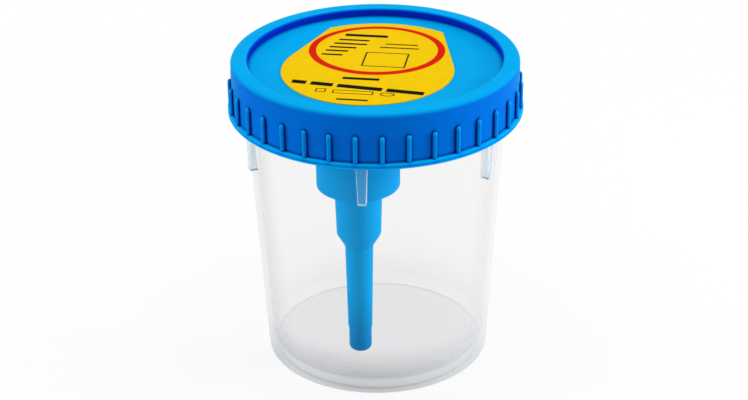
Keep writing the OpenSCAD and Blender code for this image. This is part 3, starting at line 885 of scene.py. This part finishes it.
# In the order of YELLOW, RED and INK
INKS = (
    ("seal_yellow", (0.94, 0.61, 0.0)),
    ("seal_red", (0.75, 0.012, 0.002)),
    ("seal_ink", (0.008, 0.007, 0.004)),
)
NATURAL, BLACK = (0.85, 0.86, 0.84), (0.05, 0.05, 0.055)

build_cup([clear_plastic("cup_plastic"), rib_plastic("rib_plastic")])
build_lid([moulded_plastic(**look) for look in LID_LOOKS])
build_straw(moulded_plastic(**STRAW_LOOK))
build_seal([printed_film(name, colour) for name, colour in INKS])

# These three keep the CAD's shape, as they are hidden in the well.
hidden = (
    # The hub's and the sleeve's third colour is a painted shade in their grooves.
    ("needle_hub", moulded_plastic("hub_plastic", NATURAL, NATURAL, (0.5, 0.5, 0.48), 0.5)),
    ("needle", drawn_steel("cannula_steel")),
    ("needle_sleeve", moulded_plastic("sleeve_rubber", BLACK, BLACK, (0.02, 0.02, 0.02), 0.7)),
)
for node, material in hidden:
    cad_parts[node].data.materials.clear()
    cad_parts[node].data.materials.append(material)


# ---------------------------------------------------------------- stage, light and camera
FLOOR_R, FLOOR_SIDES = 3000.0, 64
FLOOR_ROUGH, FLOOR_GLOSS = 0.8, 0.1
FLOOR_DARK, FLOOR_PALE, FLOOR_UNSEEN = (0.94, 0.94, 0.94), (0.96, 0.96, 0.96), (0.62, 0.62, 0.62)
# The floor's share of plain white glow where it is seen, near the object, where the glow pales the
# object's shadow, and further off
WHITE_NEAR, WHITE_FAR, WHITE_RANGE = 0.76, 1.0, (50.0, 240.0)

AMBIENT = 0.48
# Lamps, as (name, place in metres, size in metres, power in watts)
LAMPS = (
    ("top", (0.0, 0.1, 0.8), 1.2, 3.0),
    ("left", (-0.7, 0.0, 0.25), 0.35, 2.0),
    ("right", (0.7, 0.0, 0.25), 0.35, 3.4),
)


def floor_paint():
    """Pale paint that keeps the object's shadow, paled by a white glow near the object, and is plain glowing
    white further off.
    """
    mat, tree, out = new_material("floor_paint")
    looks = {"Roughness": FLOOR_ROUGH, "Specular IOR Level": FLOOR_GLOSS}
    shader = add(tree, "ShaderNodeBsdfPrincipled", looks)
    pale = mix_colour(tree, blobs(tree, PAINT_FLOW), FLOOR_DARK, FLOOR_PALE)
    seen = seen_directly(tree)
    tree.links.new(mix_colour(tree, seen, FLOOR_UNSEEN, pale), shader.inputs["Base Color"])
    away = measure(tree, "LENGTH", object_place(tree))
    far = spread(tree, away, WHITE_NEAR, WHITE_FAR, *in_metres(WHITE_RANGE), "SMOOTHSTEP")
    share = calculate(tree, "MULTIPLY", far, seen)
    white = add(tree, "ShaderNodeEmission").outputs["Emission"]
    show(tree, out, mix_shaders(tree, share, shader.outputs["BSDF"], white))
    return mat


def stage():
    """A round floor, out past everything that the camera sees."""
    turns = [2 * math.pi * k / FLOOR_SIDES for k in range(FLOOR_SIDES)]
    corners = [(FLOOR_R * math.cos(t), FLOOR_R * math.sin(t), 0.0) for t in turns]
    floor = new_object("floor", corners, [tuple(range(FLOOR_SIDES))])
    floor.data.materials.append(floor_paint())


def soft_light(name, place, size, power):
    """Square area lamp at place, facing the middle of the object."""
    lamp = bpy.data.lights.new(name, "AREA")
    lamp.size = size
    lamp.energy = power
    obj = bpy.data.objects.new(name, lamp)
    bpy.context.scene.collection.objects.link(obj)
    obj.location = Vector(place)
    aim = Vector((0, 0, LID_TOP / 2 * MM)) - obj.location
    obj.rotation_euler = aim.to_track_quat("-Z", "Y").to_euler()


def studio():
    """White surroundings, at full strength only where they are seen, and soft lamps."""
    world = bpy.data.worlds.new("studio")
    bpy.context.scene.world = world
    world.use_nodes = True
    tree = world.node_tree
    background = tree.nodes["Background"]
    background.inputs["Color"].default_value = (1.0, 1.0, 1.0, 1.0)
    strength = spread(tree, seen_directly(tree, ("Is Transmission Ray",)), AMBIENT, 1.0, 0.0, 1.0)
    tree.links.new(strength, background.inputs["Strength"])
    for name, place, size, power in LAMPS:
        soft_light(name, place, size, power)


def camera():
    """The photograph's viewpoint, from the outlines of the rim, the neck and the foot."""
    down, distance, roll = math.radians(27.126), 0.4485, math.radians(-0.608)
    focal_px, image_w, aside = 1839.93, 748, -0.00063
    look = Vector((aside, 0.0, 0.03836))
    cam = bpy.data.objects.new("camera", bpy.data.cameras.new("camera"))
    bpy.context.scene.collection.objects.link(cam)
    cam.data.sensor_width = 36.0
    cam.data.lens = focal_px / image_w * cam.data.sensor_width
    cam.location = look + distance * Vector((0, -math.cos(down), math.sin(down)))
    facing = (look - cam.location).to_track_quat("-Z", "Y").to_matrix().to_4x4()
    cam.rotation_euler = (facing @ Matrix.Rotation(roll, 4, "Z")).to_euler()
    cam.data.clip_start = 0.01
    bpy.context.scene.camera = cam


stage()
studio()
camera()
bpy.context.scene.view_settings.view_transform = "Standard"
